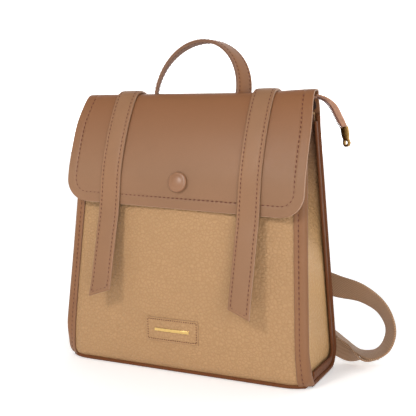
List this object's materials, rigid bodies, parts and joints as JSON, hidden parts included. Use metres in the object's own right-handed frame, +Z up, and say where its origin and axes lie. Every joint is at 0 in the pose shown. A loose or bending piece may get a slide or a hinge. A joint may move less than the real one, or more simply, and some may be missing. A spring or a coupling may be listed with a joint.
{
  "type": "leather backpack",
  "caption": "Small flap-over leather backpack with a top handle, hanging decorative straps, a covered snap, a zipped top under the flap and webbing shoulder straps.",
  "frame": {"origin": "middle of the base, on the surface that the bag stands on", "axes": "+Z up, -Y out of the front, +X to the right of someone who looks at the front"},
  "size_m": [0.3708, 0.1441, 0.316],
  "materials": {
    "tan_leather": "pebbled, satin",
    "brown_leather": "smooth, satin",
    "edge_leather": "smooth, satin",
    "lining_fabric": "woven, matt",
    "board": "matt",
    "webbing_fabric": "ribbed weave, matt",
    "zip_tape": "fine weave, matt",
    "zip_coil": "satin nylon",
    "gold_metal": "polished"
  },
  "bodies": {
    "bag": {"front_panel": "tan_leather", "back_panel": "tan_leather", "base_panel": "edge_leather", "base_board": "board", "back_board": "board", "lining": "lining_fabric", "slip_pocket": "lining_fabric", "label_patch": "tan_leather", "label_bar": "gold_metal", "snap_socket": "gold_metal", "flap_yoke": "brown_leather", "zip_facing": "lining_fabric", "anchor_patch": "brown_leather", "zip_coil_front": "zip_coil", "zip_coil_back": "zip_coil", "zip_tape_front": "zip_tape", "zip_tape_back": "zip_tape", "gusset_left": "tan_leather", "front_trim_left": "brown_leather", "rear_binding_left": "edge_leather", "gusset_welt_left": "edge_leather", "strap_left_rear": "brown_leather", "lower_tab_left": "brown_leather", "gusset_right": "tan_leather", "front_trim_right": "brown_leather", "rear_binding_right": "edge_leather", "gusset_welt_right": "edge_leather", "strap_right_rear": "brown_leather", "lower_tab_right": "brown_leather"},
    "flap": {"flap_outer": "brown_leather", "flap_lining": "lining_fabric", "snap_stud": "gold_metal", "button_cap": "brown_leather", "strap_left_front": "brown_leather", "strap_right_front": "brown_leather"},
    "strap_left": {"strap_left_tail": "brown_leather"},
    "strap_right": {"strap_right_tail": "brown_leather"},
    "handle": {"handle_outer": "brown_leather", "handle_inner": "brown_leather"},
    "zip_slider": {"zip_slider": "gold_metal"},
    "zip_puller": {"zip_puller": "gold_metal"},
    "zip_tail": {"zip_tail_tape": "zip_tape", "zip_tail_coil": "zip_coil", "zip_tail_clip": "gold_metal"},
    "webbing_left": {"webbing_left": "webbing_fabric", "adjuster_left": "gold_metal"},
    "webbing_right": {"webbing_right": "webbing_fabric", "adjuster_right": "gold_metal"}
  },
  "joints": [
    {"name": "flap_lift", "type": "hinge", "parent": "bag", "child": "flap", "pos_m": [0, -0.002, 0.263], "axis": [-1, 0, 0], "range_deg": [0, 115]},
    {"name": "handle_fold", "type": "hinge", "parent": "bag", "child": "handle", "pos_m": [0, 0.0075, 0.263], "axis": [-1, 0, 0], "range_deg": [0, 60]},
    {"name": "strap_left_lift", "type": "hinge", "parent": "flap", "child": "strap_left", "pos_m": [-0.072, -0.0475, 0.167], "axis": [-1, 0, 0], "range_deg": [-4, 60], "stiffness_Nm_per_rad": 0.05},
    {"name": "strap_right_lift", "type": "hinge", "parent": "flap", "child": "strap_right", "pos_m": [0.072, -0.0475, 0.167], "axis": [-1, 0, 0], "range_deg": [-4, 60], "stiffness_Nm_per_rad": 0.05},
    {"name": "zip_slide", "type": "slide", "parent": "bag", "child": "zip_slider", "axis": [-1, 0, 0], "range_m": [0, 0.16]},
    {"name": "puller_swing", "type": "hinge", "parent": "zip_slider", "child": "zip_puller", "pos_m": [0.0875, 0, 0.2497], "axis": [0, 1, 0], "range_deg": [0, 40]},
    {"name": "zip_tail_swing", "type": "hinge", "parent": "bag", "child": "zip_tail", "pos_m": [0.1203, 0.001, 0.26], "axis": [0, 1, 0], "range_deg": [-40, 8], "stiffness_Nm_per_rad": 0.05},
    {"name": "webbing_left_swing", "type": "hinge", "parent": "bag", "child": "webbing_left", "pos_m": [-0.116, 0.053, 0.036], "axis": [-0.4422, 0.1145, -0.8896], "range_deg": [0, 40]},
    {"name": "webbing_right_swing", "type": "hinge", "parent": "bag", "child": "webbing_right", "pos_m": [0.116, 0.053, 0.036], "axis": [-0.4422, -0.1145, 0.8896], "range_deg": [0, 40]}
  ]
}
